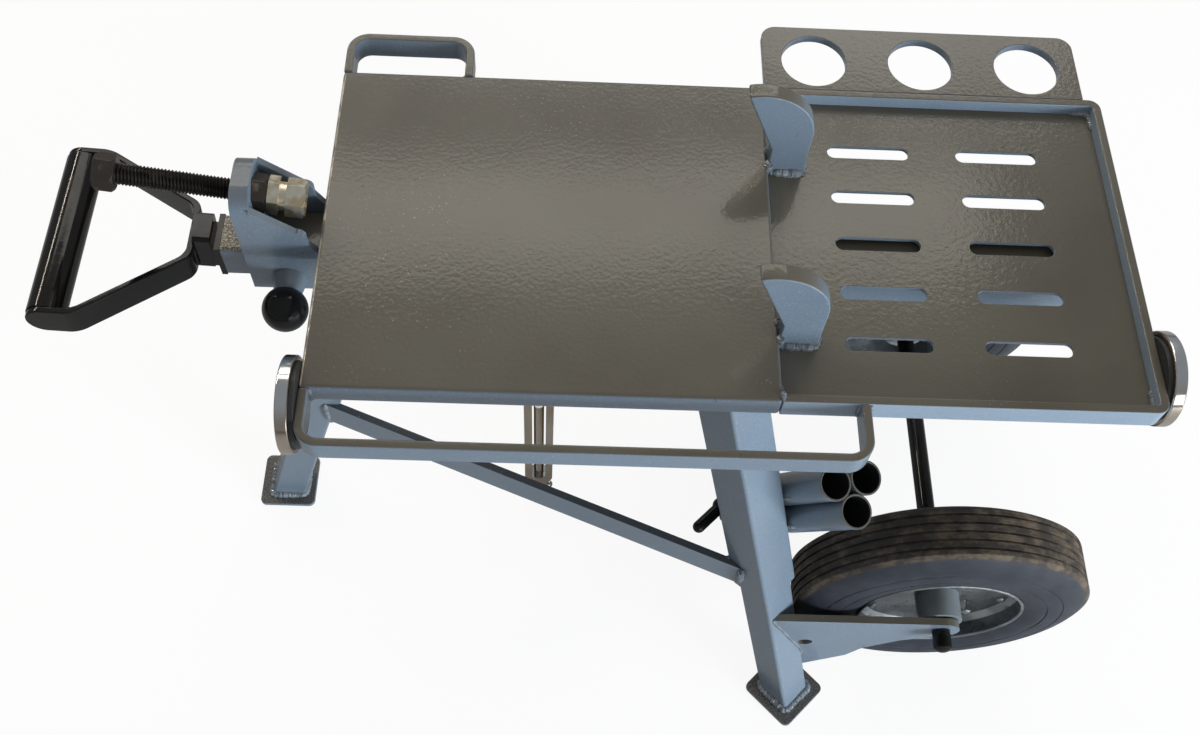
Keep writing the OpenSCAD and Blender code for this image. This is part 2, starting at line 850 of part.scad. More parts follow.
// A flat bar between the left leg's sleeve and a right leg's sleeve
module brace(leg) {
    side = leg[1] < 0 ? -1 : 1;
    from = leg_point(left_leg, brace_low_h);
    to = leg_point(leg, brace_low_h);
    run = to - from;
    color(paint) place() difference() {
        translate([from[0], from[1] + side * brace_set, brace_low_h])
            rotate([0, 0, atan2(run[1], run[0])]) translate([0, -brace_t / 2, 0])
                cube([norm(run), brace_t, brace_w]);
        leg_core(left_leg, tube_w);
        leg_core(leg, tube_w);
    }
}

// A plate from a right leg's inner tube to the axle; its outline is measured from the axle
module wheel_arm(side) {
    leg = side < 0 ? front_leg : rear_leg;
    top_x = leg_point(leg, axle_h + arm_r)[0] - axle_x;
    low_x = leg_point(leg, axle_h - arm_heel_h)[0] - axle_x;
    slope = atan2(arm_bend_h, arm_bend_x) - asin(arm_r / norm([arm_bend_x, arm_bend_h]));
    color(paint) place() difference() {
        translate([axle_x, side * arm_y + arm_t / 2, axle_h]) rotate([90, 0, 0])
            linear_extrude(arm_t) difference() {
                union() {
                    circle(arm_r);
                    polygon([
                        [0, 0], [0, arm_r], [top_x, arm_r], [low_x, -arm_heel_h],
                        [-arm_heel_x, -arm_heel_h], [-arm_knee_x, -arm_knee_h],
                        [-arm_step_x, -arm_step_h], [-arm_bend_x, -arm_bend_h],
                        [arm_r * sin(slope), -arm_r * cos(slope)]
                    ]);
                }
                circle(d = axle_d + 2 * running_fit);
                translate([-arm_hole_x, -arm_hole_h]) circle(d = arm_hole_d);
            }
        leg_core(leg, inner_w);
    }
}

// The axle, with domed ends, and the clips that keep the wheels in place
module axle() {
    color(black_gloss) place() for (side = [-1, 1])
        at_wheel(side, 0) dome_pin(axle_d, axle_l, dome_r);
}
module axle_clips() {
    color(zinc) place() for (side = [-1, 1], y = [hub_end_y + gap, hub_end_y - hub_l - gap - clip_t])
        at_wheel(side, y) round_tube(clip_d, axle_d, clip_t);
}

// The solid rubber tyre: a ribbed tread and bulging sidewalls with two ring grooves each
module tyre(side) {
    r = wheel_d / 2;
    color(rubber) place() at_wheel(side, wheel_y - wheel_w / 2) rotate_extrude($fn = 96)
        difference() {
            intersection() {
                translate([wall_mid_r, wall_back]) circle(wall_arc_r);
                translate([wall_mid_r, -wall_back]) circle(wall_arc_r);
                union() {
                    translate([seat_r, -wheel_w])
                        square([r - shoulder_r - seat_r, 2 * wheel_w]);
                    translate([seat_r, shoulder_r - crown_half])
                        square([r - seat_r, 2 * (crown_half - shoulder_r)]);
                    for (s = [-1, 1])
                        translate([r - shoulder_r, s * (crown_half - shoulder_r)])
                            circle(shoulder_r);
                }
            }
            for (i = [1 : groove_n])
                translate([r, i * 2 * crown_half / (groove_n + 1) - crown_half])
                    square([2 * groove_depth, groove_w], center = true);
            for (s = [-1, 1], x = [ring_inner_r, ring_outer_r])
                translate([x, s * wall_half(x)])
                    square([ring_w, 2 * ring_depth], center = true);
        }
}

// The pressed rim: a drum with rolled lips, and a double disc with five bolts and the valve
module rim(side) {
    edge = wall_half(seat_r);
    in_r = seat_r - rim_sheet;
    color(chrome) place() at_wheel(side, wheel_y - wheel_w / 2) {
        rotate_extrude($fn = 96) {
            translate([in_r, -edge]) square([rim_sheet, 2 * edge]);
            translate([hub_d / 2, disc_y - 2 * rim_sheet])
                square([seat_r - rim_sheet / 2 - hub_d / 2, 2 * rim_sheet]);
            polygon([[in_r - rim_fillet, disc_y], [in_r, disc_y], [in_r, disc_y + rim_fillet]]);
            for (s = [-1, 1]) translate([seat_r - rim_lip_r, s * edge]) circle(rim_lip_r);
        }
        for (i = [0 : bolt_n - 1]) rotate([0, 0, bolt_angle + i * 360 / bolt_n])
            translate([bolt_circle_r, 0, disc_y - rim_sheet])
                dome_pin(bolt_d, bolt_h + rim_sheet, bolt_dome_r);
        rotate([0, 0, valve_angle]) translate([valve_r, 0, disc_y - rim_sheet])
            dome_pin(valve_d, valve_l + rim_sheet, bolt_dome_r);
    }
}

// The hub tube and its two bearings
module hub(side) {
    bearing_d = hub_d - 2 * hub_wall;
    color(hub_grey) place() at_wheel(side, hub_end_y - hub_l)
        round_tube(hub_d, bearing_d, hub_l);
}
module bearings(side) {
    bearing_d = hub_d - 2 * hub_wall;
    color(black_gloss) place()
        for (y = [hub_end_y - bearing_set - bearing_w, hub_end_y - hub_l + bearing_set])
            at_wheel(side, y) round_tube(bearing_d, axle_d + 2 * running_fit, bearing_w);
}

// A punch tube on the front leg's right side: out along the row, and outwards from the leg
module punch_tube(row, layer) {
    color(paint) place() translate([front_leg[0], front_leg[1], front_leg[2]])
        rotate([0, 0, front_leg[3]])
            translate([punch_mouth_out, punch_side + layer * punch_nest, plate_t - punch_mouth_low])
                rotate([0, punch_lean, 0]) translate([row * punch_pitch, 0, -punch_l])
                    round_tube(punch_d, punch_d - 2 * punch_wall, punch_l);
}

// A tool magnet: a chromed cup over a ring that sits on the steel; local Z runs outwards
module at_magnet(side) {
    y = side < 0 ? left_magnet_in : right_magnet_in;
    translate([side < 0 ? 0 : tray_end, front_y + y, stand_h - magnet_low])
        rotate([0, side * 90, 0]) children();
}
module magnet_cup(side) {
    color(chrome) place() at_magnet(side) difference() {
        translate([0, 0, ring_show]) cylinder(d = magnet_d, h = cup_t);
        cylinder(d = ring_d, h = ring_show + ring_in);
    }
}
module magnet_ring(side) {
    color(black_gloss) place() at_magnet(side) round_tube(ring_d, ring_hole, ring_show + ring_in);
}

// The two tabs under the spine that carry the turnbuckle's pin
module hanger_tab() {
    reach = eye_t / 2 + gap + tab_t;
    color(paint) place() translate([buckle_x, 0, spine_low_h - tab_drop]) {
        for (y = [-reach, reach - tab_t]) translate([-tab_w / 2, y, 0])
            cube([tab_w, tab_t, tab_drop]);
        translate([0, reach, tab_drop / 2]) rotate([90, 0, 0])
            cylinder(d = pin_d, h = 2 * reach);
    }
}

// The turnbuckle's upper rod, with the eye that swings on the pin and two collars
module turnbuckle_eye() {
    rod_l = buckle_top + eye_rod_in;
    color(chrome) place() translate([buckle_x, 0, spine_low_h - tab_drop / 2]) difference() {
        union() {
            translate([0, eye_t / 2, 0]) rotate([90, 0, 0]) cylinder(d = eye_d, h = eye_t);
            translate([0, 0, -rod_l]) cylinder(d = rod_d, h = rod_l - pin_d);
            translate([0, 0, -rod_l]) cylinder(d = collar_d, h = collar_t);
            translate([0, 0, gap - buckle_top]) cylinder(d = collar_d, h = collar_t);
        }
        translate([0, eye_t, 0]) rotate([90, 0, 0])
            cylinder(d = pin_d + 2 * running_fit, h = 2 * eye_t);
    }
}

// The turnbuckle's open body: two side bars between two tapered bosses
module at_buckle() {
    translate([buckle_x, 0, spine_low_h - tab_drop / 2 - buckle_top - buckle_l]) children();
}
module turnbuckle_body() {
    window = buckle_w - 2 * buckle_bar;
    top = buckle_l - buckle_taper;
    color(chrome) place() at_buckle() difference() {
        union() {
            translate([0, buckle_t / 2, 0]) rotate([90, 0, 0]) linear_extrude(buckle_t)
                difference() {
                    polygon([
                        [-buckle_boss_d / 2, 0], [buckle_boss_d / 2, 0],
                        [buckle_w / 2, buckle_taper], [buckle_w / 2, top],
                        [buckle_boss_d / 2, buckle_l], [-buckle_boss_d / 2, buckle_l],
                        [-buckle_w / 2, top], [-buckle_w / 2, buckle_taper]
                    ]);
                    translate([-window / 2, boss_l]) square([window, buckle_l - 2 * boss_l]);
                }
            for (z = [0, buckle_l - boss_l]) translate([0, 0, z])
                cylinder(d = buckle_boss_d, h = boss_l);
        }
        translate([0, 0, -over]) cylinder(d = rod_d + 2 * running_fit, h = buckle_l + 2 * over);
    }
}

// The turnbuckle's lower screw, with a hook that ends in a ball
module turnbuckle_hook() {
    ring_out = hook_turn_r + hook_rod_d;
    color(chrome) place() at_buckle() {
        translate([0, 0, -hook_drop / 2])
            cylinder(d = rod_d, h = buckle_l - hook_rod_low + hook_drop / 2);
        translate([0, 0, -hook_drop]) cylinder(d = hook_rod_d, h = hook_drop);
        translate([hook_turn_r, 0, -hook_drop]) rotate([90, 0, 0]) intersection() {
            rotate_extrude() translate([hook_turn_r, 0]) circle(d = hook_rod_d);
            translate([-ring_out, -ring_out, -hook_rod_d])
                cube([2 * ring_out, ring_out, 2 * hook_rod_d]);
        }
        translate([2 * hook_turn_r, 0, -hook_drop]) sphere(d = hook_ball_d);
    }
}

top_plate();
tray_floor();
tray_rim();
holder_plate();
front_loop();
rear_loop();
front_dog();
rear_dog();
spine_tube();
clamp_bracket();
clamp_nut();
clamp_screw();
clamp_pad();
plunger_housing();
plunger_pin();
plunger_spring();
plunger_knob();
handle_tube();
handle_neck();
handle_frame();
handle_grip();
leg_sleeve(left_leg);  // left_leg_sleeve
leg_inner(left_leg);  // left_leg_inner
foot(left_leg);  // left_foot
leg_screw(left_leg);  // left_leg_screw
leg_sleeve(front_leg);  // front_leg_sleeve
leg_inner(front_leg);  // front_leg_inner
foot(front_leg);  // front_foot
leg_screw(front_leg);  // front_leg_screw
leg_sleeve(rear_leg);  // rear_leg_sleeve
leg_inner(rear_leg);  // rear_leg_inner
foot(rear_leg);  // rear_foot
leg_screw(rear_leg);  // rear_leg_screw
screw_bosses();
brace(front_leg);  // front_brace
brace(rear_leg);  // rear_brace
wheel_arm(-1);  // front_wheel_arm
wheel_arm(1);  // rear_wheel_arm
axle();
axle_clips();
tyre(-1);  // front_tyre
rim(-1);  // front_rim
hub(-1);  // front_hub
bearings(-1);  // front_bearings
tyre(1);  // rear_tyre
rim(1);  // rear_rim
hub(1);  // rear_hub
bearings(1);  // rear_bearings
punch_tube(0, 0);  // punch_tube_1
punch_tube(1, 0);  // punch_tube_2
punch_tube(0.5, 1);  // punch_tube_3
magnet_cup(-1);  // left_magnet_cup
magnet_ring(-1);  // left_magnet_ring
magnet_cup(1);  // right_magnet_cup
magnet_ring(1);  // right_magnet_ring
hanger_tab();
turnbuckle_eye();
turnbuckle_body();
turnbuckle_hook();
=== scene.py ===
"""Looks of an anvil stand: welded and painted steel on three telescoping legs, with two wheels."""

import json
import math
import random

import bpy
from mathutils import Matrix, Vector


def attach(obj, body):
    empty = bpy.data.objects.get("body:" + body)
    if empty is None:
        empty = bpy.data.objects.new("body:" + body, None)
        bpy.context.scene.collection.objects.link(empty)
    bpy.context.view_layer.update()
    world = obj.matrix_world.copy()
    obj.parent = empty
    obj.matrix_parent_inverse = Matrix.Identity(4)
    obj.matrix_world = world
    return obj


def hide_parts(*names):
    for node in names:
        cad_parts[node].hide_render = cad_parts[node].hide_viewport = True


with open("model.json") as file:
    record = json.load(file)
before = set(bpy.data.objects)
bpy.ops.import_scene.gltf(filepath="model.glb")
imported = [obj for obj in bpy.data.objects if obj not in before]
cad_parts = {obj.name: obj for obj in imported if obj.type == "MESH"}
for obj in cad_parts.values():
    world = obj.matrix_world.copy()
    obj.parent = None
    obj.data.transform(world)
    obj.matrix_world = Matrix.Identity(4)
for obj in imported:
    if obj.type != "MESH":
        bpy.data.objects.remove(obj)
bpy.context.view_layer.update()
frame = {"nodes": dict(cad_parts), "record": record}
NODES = frame["nodes"]
BODY_OF = {n: b for b, ns in frame["record"]["behaviour"]["bodies"].items() for n in ns}

MM = 0.001
# The part's sizes are in millimetres and its angles in degrees; the camera, floor and lights are in metres.
# The plate's handle side lies at this X of the shared frame
PLATE_START = -218.347
PLATE_L = 320
PLATE_W = 273
PLATE_TOP = 463
# The plate's underside, where the front and rear sleeves begin
UNDER = 444
TRAY_TOP = 453
# The height at which the sleeves end and the inner tubes come out
SLEEVE_END = 180
TUBE = 38.1
INNER = 31.7
# How far most weld beads' middle lines stand off the face beside them
BEAD_RISE = 0.3


def spot(x, y, z):
    """A point in millimetres from the plate's handle side, its middle line and the ground."""
    return Vector(((x + PLATE_START) * MM, y * MM, z * MM))


# Modelling helpers

def alone(obj):
    """Selects obj and nothing else."""
    bpy.ops.object.select_all(action="DESELECT")
    obj.select_set(True)
    bpy.context.view_layer.objects.active = obj


def edit(obj):
    """Edit mode on obj, with everything selected."""
    alone(obj)
    bpy.ops.object.mode_set(mode="EDIT")
    bpy.ops.mesh.select_all(action="SELECT")


def leave():
    bpy.ops.object.mode_set(mode="OBJECT")


def apply_modifier(obj, kind, **values):
    """Adds a modifier with these values and applies it."""
    alone(obj)
    m = obj.modifiers.new(kind.lower(), kind)
    for k, v in values.items():
        setattr(m, k, v)
    bpy.ops.object.modifier_apply(modifier=m.name)


def bake_place(obj):
    """Leaves the object at the origin, unturned and unscaled, with its mesh where it was."""
    alone(obj)
    bpy.ops.object.transform_apply(location=True, rotation=True, scale=True)


def smooth(obj, degrees=35):
    alone(obj)
    bpy.ops.object.shade_smooth_by_angle(angle=math.radians(degrees))


def flatten_wide_faces(obj):
    """Large faces keep their own normal beside a rounded edge."""
    apply_modifier(obj, "WEIGHTED_NORMAL", mode="FACE_AREA", weight=50, keep_sharp=True)


def dress(obj, body, finish, stands_for=()):
    """Gives a piece its body, finish and the CAD nodes that it stands for."""
    obj.data.materials.clear()
    obj.data.materials.append(finish)
    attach(obj, body)
    if stands_for:
        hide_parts(*stands_for)
    return obj


def merged_copy(node, name):
    """A copy of a CAD node with its loose triangles merged into whole faces."""
    obj = bpy.data.objects.new(name, NODES[node].data.copy())
    bpy.context.scene.collection.objects.link(obj)
    edit(obj)
    bpy.ops.mesh.remove_doubles(threshold=MM / 100)
    bpy.ops.mesh.dissolve_limited(angle_limit=math.radians(0.5))
    leave()
    return obj


def ease(obj, width, steps=2, angle=32, fine=35):
    """Rounds the edges of a piece, as paint and a file leave them."""
    if width:
        apply_modifier(obj, "BEVEL", width=width * MM, segments=steps, limit_method="ANGLE",
                       angle_limit=math.radians(angle), use_clamp_overlap=True)
    smooth(obj, fine)
    flatten_wide_faces(obj)


def eased(node, finish, width=0.8, steps=2, angle=32, fine=35):
    """A CAD node's shape with its edges rounded."""
    obj = merged_copy(node, node + "_body")
    ease(obj, width, steps, angle, fine)
    return dress(obj, BODY_OF[node], finish, (node,))


# Materials

class Finish:
    """A material under construction: its nodes, its links and its main shader."""

    def __init__(self, name, **sockets):
        self.material = bpy.data.materials.new(name)
        self.material.use_nodes = True
        self.nodes = self.material.node_tree.nodes
        self.links = self.material.node_tree.links
        self.shader = self.nodes["Principled BSDF"]
        for k, v in sockets.items():
            self.shader.inputs[k.replace("_", " ")].default_value = v
        self.coords = self.nodes.new("ShaderNodeTexCoord")
        self.height = None

    def join(self, a, b):
        self.links.new(a, b)

    def noise(self, scale, detail=2.0, rough=0.5, stretch=None):
        """Noise in the piece's own space, stretched along each axis by the inverse of stretch."""
        n = self.nodes.new("ShaderNodeTexNoise")
        n.inputs["Scale"].default_value = scale
        n.inputs["Detail"].default_value = detail
        n.inputs["Roughness"].default_value = rough
        if stretch:
            m = self.nodes.new("ShaderNodeMapping")
            m.inputs["Scale"].default_value = stretch
            self.join(self.coords.outputs["Object"], m.inputs["Vector"])
            self.join(m.outputs["Vector"], n.inputs["Vector"])
        else:
            self.join(self.coords.outputs["Object"], n.inputs["Vector"])
        return n.outputs["Fac"]

    def span(self, value, low, high, out_low=0.0, out_high=1.0):
        """A smooth step from out_low to out_high as value goes from low to high."""
        n = self.nodes.new("ShaderNodeMapRange")
        n.interpolation_type = "SMOOTHSTEP"
        n.inputs["From Min"].default_value = low
        n.inputs["From Max"].default_value = high
        n.inputs["To Min"].default_value = out_low
        n.inputs["To Max"].default_value = out_high
        self.join(value, n.inputs["Value"])
        return n.outputs["Result"]

    def math(self, kind, a, b):
        n = self.nodes.new("ShaderNodeMath")
        n.operation = kind
        for i, v in enumerate((a, b)):
            if isinstance(v, (int, float)):
                n.inputs[i].default_value = v
            else:
                self.join(v, n.inputs[i])
        return n.outputs["Value"]

    def mix(self, share, a, b):
        n = self.nodes.new("ShaderNodeMix")
        n.data_type = "RGBA"
        for socket, v in ((n.inputs[0], share), (n.inputs[6], a), (n.inputs[7], b)):
            if isinstance(v, (int, float)):
                socket.default_value = v
            elif isinstance(v, tuple):
                socket.default_value = (*v, 1.0)
            else:
                self.join(v, socket)
        return n.outputs[2]

    def up(self, low, high):
        """How far a face looks up, from 0 to 1."""
        n = self.nodes.new("ShaderNodeSeparateXYZ")
        self.join(self.coords.outputs["Normal"], n.inputs["Vector"])
        return self.span(n.outputs["Z"], low, high)

    def place(self):
        """The X, Y and Z of a point, in metres."""
        n = self.nodes.new("ShaderNodeSeparateXYZ")
        self.join(self.coords.outputs["Object"], n.inputs["Vector"])
        return n.outputs

    def colour(self, value):
        self.join(value, self.shader.inputs["Base Color"])

    def roughness(self, value):
        self.join(value, self.shader.inputs["Roughness"])

    def bump(self, value, strength, distance):
        """Adds relief to what is there already; distance is in millimetres."""
        n = self.nodes.new("ShaderNodeBump")
        n.inputs["Strength"].default_value = strength
        n.inputs["Distance"].default_value = distance * MM
        self.join(value, n.inputs["Height"])
        if self.height:
            self.join(self.height, n.inputs["Normal"])
        self.height = n.outputs["Normal"]
        for socket in ("Normal", "Coat Normal"):
            self.join(self.height, self.shader.inputs[socket])

    def coat(self, weight, roughness):
        self.shader.inputs["Coat Weight"].default_value = weight
        self.shader.inputs["Coat Roughness"].default_value = roughness


def grey_paint(name="grey_paint", peel=0.13, grain=330.0, top=(0.096, 0.087, 0.066),
               stain=(0.070, 0.061, 0.044), glint_share=0.0, sheen_lift=1.0, bright_edge=None):
    """Sprayed gloss grey with orange peel, pale dust and rust spots, and a painted reflection: cool on
    upright faces, warm on top faces.

    The glint share is the share of pale specks on top faces, which are painted glints; the sheen lift
    lightens the upright faces as a painted sheen; and bright_edge is the X, in metres, of the anvil plate's
    left edge, along which a highlight is painted.
    """
    # Colours: pale of the painted glints on top faces, dust, rust, and pale blue of the painted glints on
    # upright faces
    glint_pale, dust = (0.62, 0.55, 0.43), (0.42, 0.39, 0.32)
    brown, glint_blue = (0.055, 0.040, 0.028), (0.42, 0.47, 0.52)
    shades = (0.122, 0.162, 0.206), (0.146, 0.190, 0.238)
    dark, light = (tuple(sheen_lift * c for c in shade) for shade in shades)
    f = Finish(name, IOR=1.45)
    f.coat(0.55, 0.07)
    cloud = f.noise(7.0, 3.0)
    upright = f.mix(f.span(cloud, 0.3, 0.7), dark, light)
    # Pale blue specks on upright faces are painted glints
    sparkle = f.math("MULTIPLY", f.span(f.noise(950.0, 1.0), 0.62, 0.74), 0.35)
    upright = f.mix(sparkle, upright, glint_blue)
    flat = f.mix(f.span(f.noise(5.0, 3.0), 0.34, 0.60), stain, top)
    # Pale specks on top faces are painted glints
    if glint_share:
        specks = f.math("MULTIPLY", f.span(f.noise(800.0, 1.0), 0.46, 0.60), glint_share)
        flat = f.mix(specks, flat, glint_pale)
    # Upright faces cool and top faces warm: a painted reflection of the light on each
    painted = f.mix(f.up(0.35, 0.92), upright, flat)
    patches = f.span(f.noise(9.0, 3.0), 0.50, 0.66)
    pale = f.math("MULTIPLY", f.span(f.noise(640.0, 1.0), 0.70, 0.76), patches)
    spots = f.span(f.noise(260.0, 4.0), 0.68, 0.74)
    rust = f.math("MULTIPLY", spots, f.span(f.noise(14.0, 2.0), 0.52, 0.64))
    dusty = f.mix(f.math("MULTIPLY", pale, 0.6), painted, dust)
    colour = f.mix(f.math("MULTIPLY", rust, 0.6), dusty, brown)
    # A thin warm line along the plate's top left edge is a painted highlight
    if bright_edge is not None:
        near = f.span(f.place()["X"], bright_edge + 1.4 * MM, bright_edge + 2.4 * MM, 1.0, 0.0)
        above = f.span(f.place()["Z"], (PLATE_TOP - 1.8) * MM, (PLATE_TOP - 1.0) * MM)
        gaps = f.span(f.noise(70.0, 3.0), 0.36, 0.62, 0.15, 1.0)
        wear_and_highlight = f.math("MULTIPLY", f.math("MULTIPLY", near, above), gaps)
        colour = f.mix(wear_and_highlight, colour, (0.66, 0.58, 0.45))
    f.colour(colour)
    f.roughness(f.span(cloud, 0.3, 0.7, 0.32, 0.42))
    f.bump(f.noise(38.0, 1.0), 0.5, 0.12)
    f.bump(f.noise(grain, 2.0), 1.0, peel)
    return f.material


def weld_paint():
    """The same paint over weld metal, which is lumpy and catches the light."""
    f = Finish("painted_weld", IOR=1.5)
    f.coat(0.9, 0.05)
    cloud = f.noise(60.0, 3.0)
    f.colour(f.mix(f.span(cloud, 0.35, 0.65), (0.120, 0.140, 0.160), (0.190, 0.215, 0.235)))
    f.roughness(f.span(f.noise(200.0, 2.0), 0.3, 0.7, 0.10, 0.28))
    f.bump(f.noise(420.0, 2.0), 1.0, 0.25)
    return f.material


def painted_bore_shade():
    """Painted shade, near black, for the inside of a punch tube."""
    f = Finish("painted_bore_shade", Roughness=0.7)
    f.colour(f.mix(f.noise(80.0, 2.0), (0.004, 0.004, 0.004), (0.012, 0.012, 0.012)))
    return f.material


def black_gloss_paint():
    f = Finish("black_gloss_paint", IOR=1.5)
    f.shader.inputs["Specular IOR Level"].default_value = 0.32
    cloud = f.noise(14.0, 3.0)
    f.colour(f.mix(f.span(cloud, 0.3, 0.7), (0.004, 0.004, 0.004), (0.009, 0.008, 0.007)))
    f.roughness(f.span(f.noise(45.0, 2.0), 0.3, 0.7, 0.07, 0.15))
    f.bump(f.noise(160.0, 1.5), 1.0, 0.05)
    return f.material


def black_oxide(name, dark, wear_and_highlight):
    """Oiled black thread, bolt heads and nuts, rubbed to brown on their corners."""
    f = Finish(name, Metallic=0.75)
    rub = f.span(f.noise(55.0, 4.0, 0.6), 0.52, 0.70)
    f.colour(f.mix(rub, dark, wear_and_highlight))
    f.roughness(f.span(f.noise(120.0, 2.0), 0.3, 0.7, 0.30, 0.48))
    f.bump(f.noise(600.0, 2.0), 0.2, 0.2)
    return f.material


def yellow_zinc():
    """Yellow zinc plate with its faint blue and pink clouds."""
    f = Finish("yellow_zinc", Metallic=1.0)
    cloud = f.noise(90.0, 3.0)
    gold = f.mix(f.span(cloud, 0.35, 0.65), (0.72, 0.58, 0.37), (0.92, 0.85, 0.70))
    blue = f.span(f.noise(130.0, 2.0), 0.55, 0.70)
    f.colour(f.mix(f.math("MULTIPLY", blue, 0.6), gold, (0.68, 0.73, 0.77)))
    f.roughness(f.span(f.noise(240.0, 2.0), 0.3, 0.7, 0.28, 0.42))
    f.bump(f.noise(500.0, 2.0, stretch=(1.0, 1.0, 0.2)), 0.12, 0.1)
    return f.material


def chrome_plate():
    """Chrome with a painted reflection: darker brown ground on faces that look down, lighter brown on
    upright faces and pale sky on faces that look up.
    """
    f = Finish("chrome_plate", Metallic=1.0)
    # Painted reflection colours, chosen by which way a face looks
    ground = f.mix(f.span(f.noise(14.0, 2.0), 0.3, 0.7), (0.16, 0.125, 0.09), (0.26, 0.21, 0.16))
    side = f.mix(f.span(f.noise(14.0, 2.0), 0.3, 0.7), (0.44, 0.35, 0.26), (0.62, 0.55, 0.47))
    low = f.mix(f.up(-0.75, -0.15), ground, side)
    f.colour(f.mix(f.up(0.60, 0.92), low, (0.74, 0.76, 0.78)))
    f.roughness(f.span(f.noise(60.0, 2.0), 0.3, 0.7, 0.10, 0.18))
    f.bump(f.noise(70.0, 2.0), 1.0, 0.02)
    return f.material


def bright_zinc():
    """Pressed wheel rims, with fine pressing marks."""
    f = Finish("bright_zinc", Metallic=1.0)
    f.colour(f.mix(f.span(f.noise(40.0, 3.0), 0.35, 0.65), (0.26, 0.28, 0.29), (0.44, 0.45, 0.46)))
    f.roughness(f.span(f.noise(150.0, 3.0), 0.3, 0.7, 0.26, 0.38))
    f.bump(f.noise(120.0, 1.0), 0.5, 0.01)
    return f.material


def hub_paint():
    f = Finish("hub_paint", IOR=1.5)
    f.colour(f.mix(f.span(f.noise(50.0, 3.0), 0.3, 0.7), (0.130, 0.152, 0.158), (0.170, 0.194, 0.200)))
    f.roughness(f.span(f.noise(200.0, 2.0), 0.3, 0.7, 0.30, 0.45))
    f.bump(f.noise(400.0, 1.5), 0.15, 0.2)
    return f.material


def bearing_steel():
    f = Finish("bearing_steel", Metallic=1.0)
    f.colour(f.mix(f.noise(200.0, 2.0), (0.24, 0.24, 0.25), (0.36, 0.36, 0.36)))
    f.roughness(f.span(f.noise(300.0, 2.0), 0.3, 0.7, 0.25, 0.4))
    return f.material


def magnet_ferrite():
    f = Finish("magnet_ferrite")
    f.colour(f.mix(f.noise(80.0, 2.0), (0.016, 0.016, 0.017), (0.030, 0.029, 0.028)))
    f.roughness(f.span(f.noise(200.0, 2.0), 0.3, 0.7, 0.45, 0.65))
    f.bump(f.noise(900.0, 2.0), 0.3, 0.1)
    return f.material


def knob_plastic():
    f = Finish("knob_plastic", IOR=1.5)
    f.colour(f.mix(f.noise(30.0, 2.0), (0.004, 0.004, 0.004), (0.007, 0.007, 0.007)))
    f.shader.inputs["Specular IOR Level"].default_value = 0.3
    f.roughness(f.span(f.noise(90.0, 2.0), 0.3, 0.7, 0.14, 0.24))
    f.bump(f.noise(220.0, 1.0), 0.05, 0.1)
    return f.material


def tyre_rubber(middle):
    """Rubber: a satin blue-grey wall and a dull tread with brown dust; middle is the axle's line."""
    f = Finish("tyre_rubber", IOR=1.48)
    xyz = f.place()
    dx = f.math("SUBTRACT", xyz["X"], middle.x)
    dz = f.math("SUBTRACT", xyz["Z"], middle.z)
    r = f.math("SQRT", f.math("ADD", f.math("MULTIPLY", dx, dx), f.math("MULTIPLY", dz, dz)), 0.0)
    tread_start, tread_full = 121.5, 124.0
    tread = f.span(r, tread_start * MM, tread_full * MM)
    wall = f.mix(f.span(f.noise(60.0, 3.0), 0.3, 0.7), (0.019, 0.022, 0.030), (0.028, 0.032, 0.041))
    scuff = f.span(f.noise(55.0, 6.0, 0.75, stretch=(1.0, 1.6, 1.0)), 0.43, 0.66)
    wear_and_highlight = f.mix(scuff, (0.034, 0.028, 0.023), (0.115, 0.088, 0.060))
    specks = f.span(f.noise(520.0, 1.0), 0.72, 0.78)
    f.colour(f.mix(f.math("MULTIPLY", specks, 0.35), f.mix(tread, wall, wear_and_highlight), (0.16, 0.15, 0.13)))
    f.roughness(f.span(tread, 0.0, 1.0, 0.48, 0.72))
    f.bump(f.noise(900.0, 2.0), 0.35, 0.15)
    f.bump(f.noise(90.0, 4.0), 0.20, 0.4)
    return f.material


AXLE = (510.694, 0, 136.7)
paint = grey_paint()
# The handle tube's paint has many pale specks on its top, painted glints
rough_paint = grey_paint("grey_paint_over_scale", peel=0.40, grain=420.0, glint_share=0.55)
# The bracket and plunger housing have lighter, cool top faces: a painted cool reflection
cool_paint = grey_paint("grey_paint_in_shade", top=(0.125, 0.150, 0.175), stain=(0.105, 0.125, 0.145))
# The plate's paint has a painted highlight along its left edge
edge_paint = grey_paint("grey_paint_with_edge_highlight", peel=0.10, bright_edge=PLATE_START * MM)
# The tray rim's upright faces are painted lighter, a painted sheen
rim_paint = grey_paint("grey_paint_on_rim", sheen_lift=1.5)
# The braces' top faces are painted darker and cooler: painted shade
brace_paint = grey_paint("grey_paint_on_braces", top=(0.052, 0.060, 0.070), stain=(0.040, 0.047, 0.056))
# The feet have darker top faces, with pale specks on them that are painted glints
foot_paint = grey_paint("grey_paint_on_feet", top=(0.052, 0.053, 0.056), stain=(0.032, 0.033, 0.036),
                        glint_share=0.15)
bore_shade = painted_bore_shade()
weld_finish = weld_paint()
black = black_gloss_paint()
oxide = black_oxide("black_oxide", (0.060, 0.050, 0.043), (0.26, 0.20, 0.15))
thread_oxide = black_oxide("black_oxide_thread", (0.022, 0.019, 0.017), (0.090, 0.068, 0.050))
zinc = yellow_zinc()
chrome = chrome_plate()
rim_zinc = bright_zinc()
hub_grey = hub_paint()
bearing = bearing_steel()
ferrite = magnet_ferrite()
plastic = knob_plastic()
rubber = tyre_rubber(spot(*AXLE))


# Painted steelwork, with its edges eased

